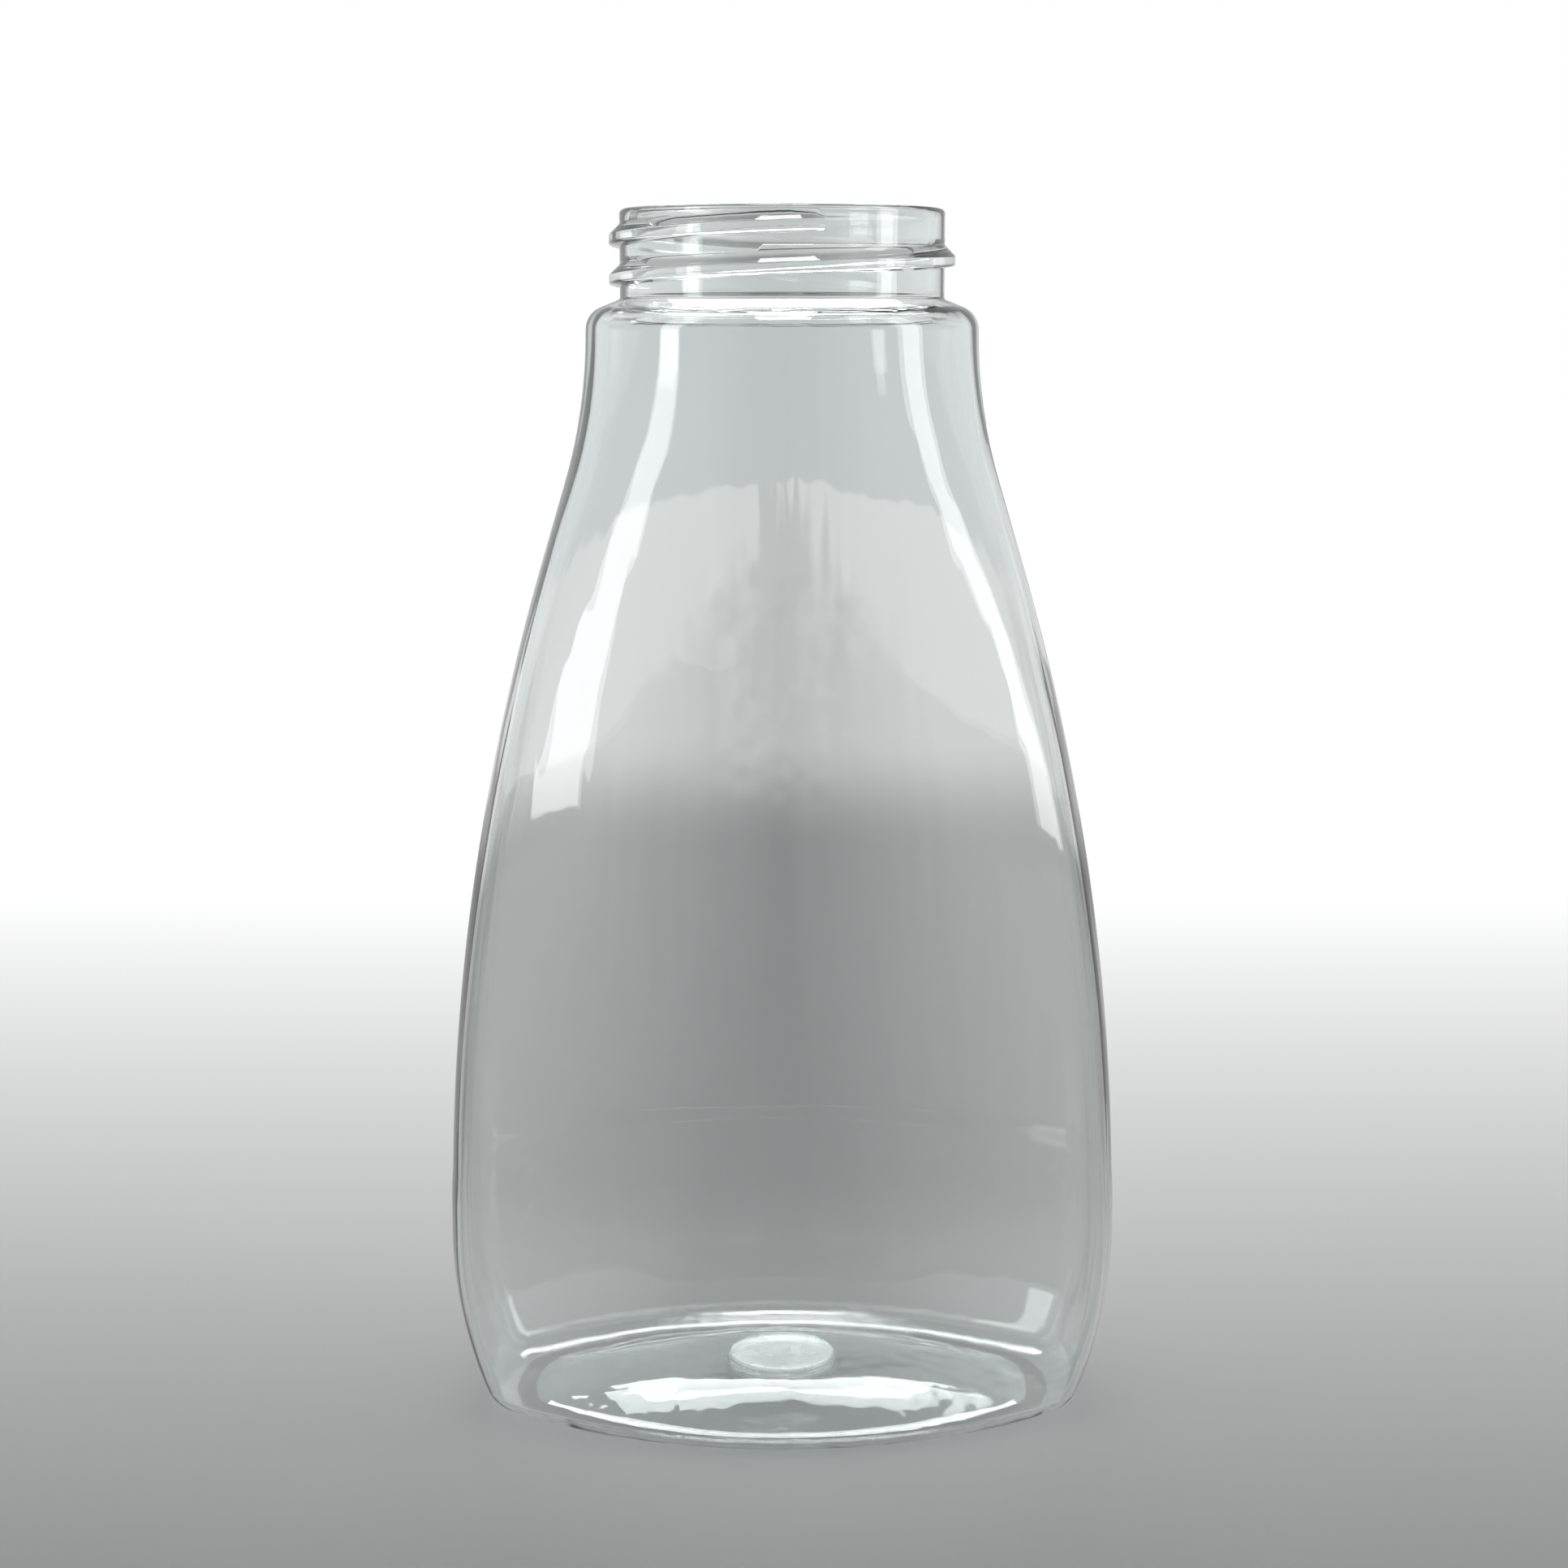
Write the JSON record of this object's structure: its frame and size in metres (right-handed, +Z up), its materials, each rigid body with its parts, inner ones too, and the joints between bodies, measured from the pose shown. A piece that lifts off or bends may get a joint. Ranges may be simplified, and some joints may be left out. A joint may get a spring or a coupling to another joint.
{
  "type": "oval squeeze bottle",
  "caption": "Clear oval squeeze bottle with a tapering body, a ledged label panel, a round shoulder and an open screw neck for a standard closure.",
  "frame": {"origin": "centre of the foot ring, on the surface the bottle stands on", "axes": "+Z up along the neck's axis, +X towards the right-hand side wall seen from the front, -Y towards the front"},
  "size_m": [0.0752, 0.047, 0.1334],
  "materials": {
    "clear_plastic": "clear, glossy stretch-blown plastic",
    "gate_haze": "clear plastic gone hazy where it cooled slowly"
  },
  "bodies": {
    "root": {"sealing_rim": "clear_plastic", "neck_wall": "clear_plastic", "neck_thread": "clear_plastic", "shoulder": "clear_plastic", "upper_body": "clear_plastic", "label_panel": "clear_plastic", "panel_ledge": "clear_plastic", "heel": "clear_plastic", "foot_ring": "clear_plastic", "push_up": "clear_plastic", "gate_disc": "gate_haze"}
  },
  "joints": []
}
